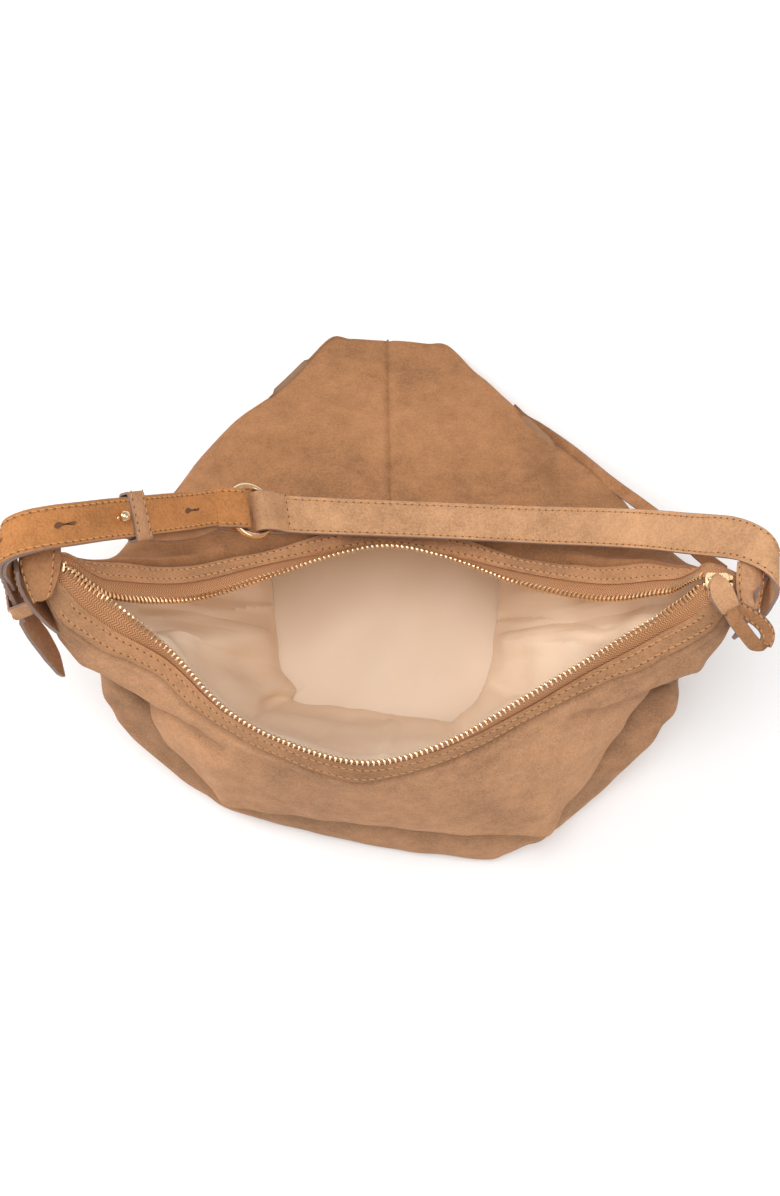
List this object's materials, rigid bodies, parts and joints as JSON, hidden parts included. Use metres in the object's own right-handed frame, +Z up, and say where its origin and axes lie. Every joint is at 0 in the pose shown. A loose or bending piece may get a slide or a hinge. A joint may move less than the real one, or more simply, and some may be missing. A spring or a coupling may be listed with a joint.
{
  "type": "hobo bag",
  "caption": "Slouchy suede hobo bag resting with its zip mouth open: lined body, zip with slider and leather pull, and an adjustable ring-joined shoulder strap.",
  "frame": {"origin": "centre of the bounding box in plan, on the surface the base rests on", "axes": "+X along the zip from the left ear to the slider end, +Y towards the back panel, +Z up"},
  "size_m": [0.3842, 0.3104, 0.2257],
  "materials": {
    "suede": "napped suede, matt",
    "lining": "satin twill",
    "zip_tape": "woven herringbone",
    "gold_metal": "polished light gold plate",
    "board": "plain stiffener board"
  },
  "bodies": {
    "bag": {"front_panel": "suede", "back_panel_left": "suede", "back_panel_right": "suede", "gusset_left": "suede", "gusset_right": "suede", "base_panel": "suede", "base_board": "board", "back_facing": "suede", "front_facing": "suede", "lining_back": "lining", "lining_left": "lining", "lining_front": "lining", "lining_right": "lining", "lining_floor": "lining", "zip_tape_back": "zip_tape", "zip_tape_front": "zip_tape", "zip_teeth_back": "gold_metal", "zip_teeth_front": "gold_metal", "zip_stop_left": "gold_metal", "zip_stops_right": "gold_metal", "ear_patch_left": "suede", "ear_patch_right": "suede", "strap_anchor_left": "suede", "strap_anchor_right": "suede", "adjuster_held": "suede", "fixed_keeper": "suede", "tie_strap": "suede"},
    "slider": {"slider_body": "gold_metal", "slider_bail": "gold_metal"},
    "pull": {"pull_tab": "suede"},
    "pull_end": {"pull_loop": "suede"},
    "strap": {"strap_left_base": "suede", "strap_left_adjuster": "suede", "strap_left_fold": "suede", "strap_right": "suede", "strap_right_fold": "suede", "stud": "gold_metal", "stud_screw": "gold_metal"},
    "ring": {"strap_ring": "gold_metal"},
    "keeper": {"sliding_keeper": "suede"},
    "tail": {"adjuster_tail": "suede"}
  },
  "joints": [
    {"name": "slider_travel", "type": "slide", "parent": "bag", "child": "slider", "axis": [-1, 0, 0], "range_m": [0, 0.285], "deforming": ["zip_tape_back", "zip_tape_front", "zip_teeth_back", "zip_teeth_front"]},
    {"name": "pull_flip", "type": "hinge", "parent": "slider", "child": "pull", "pos_m": [0.16175, -0.02718, 0.2114], "axis": [-1, 0, 0], "range_deg": [0, 45]},
    {"name": "pull_loop_swing", "type": "hinge", "parent": "pull", "child": "pull_end", "pos_m": [0.16775, -0.03959, 0.2074], "axis": [-0.8571, -0.5151, 0], "range_deg": [0, 25]},
    {"name": "strap_swing", "type": "hinge", "parent": "bag", "child": "strap", "pos_m": [0.00175, -0.02718, 0.199], "axis": [1, 0, 0], "range_deg": [0, 60]},
    {"name": "ring_spin", "type": "hinge", "parent": "strap", "child": "ring", "pos_m": [-0.07225, 0.01832, 0.12], "axis": [0.6315, 0.1744, 0.7555], "continuous": true},
    {"name": "keeper_slide", "type": "slide", "parent": "strap", "child": "keeper", "axis": [0.5545, 0.2621, -0.7898], "range_m": [0, 0.022]},
    {"name": "tail_lift", "type": "hinge", "parent": "bag", "child": "tail", "pos_m": [-0.18185, -0.04708, 0.1689], "axis": [-0.2005, 0.9324, 0.3008], "range_deg": [0, 20]}
  ]
}
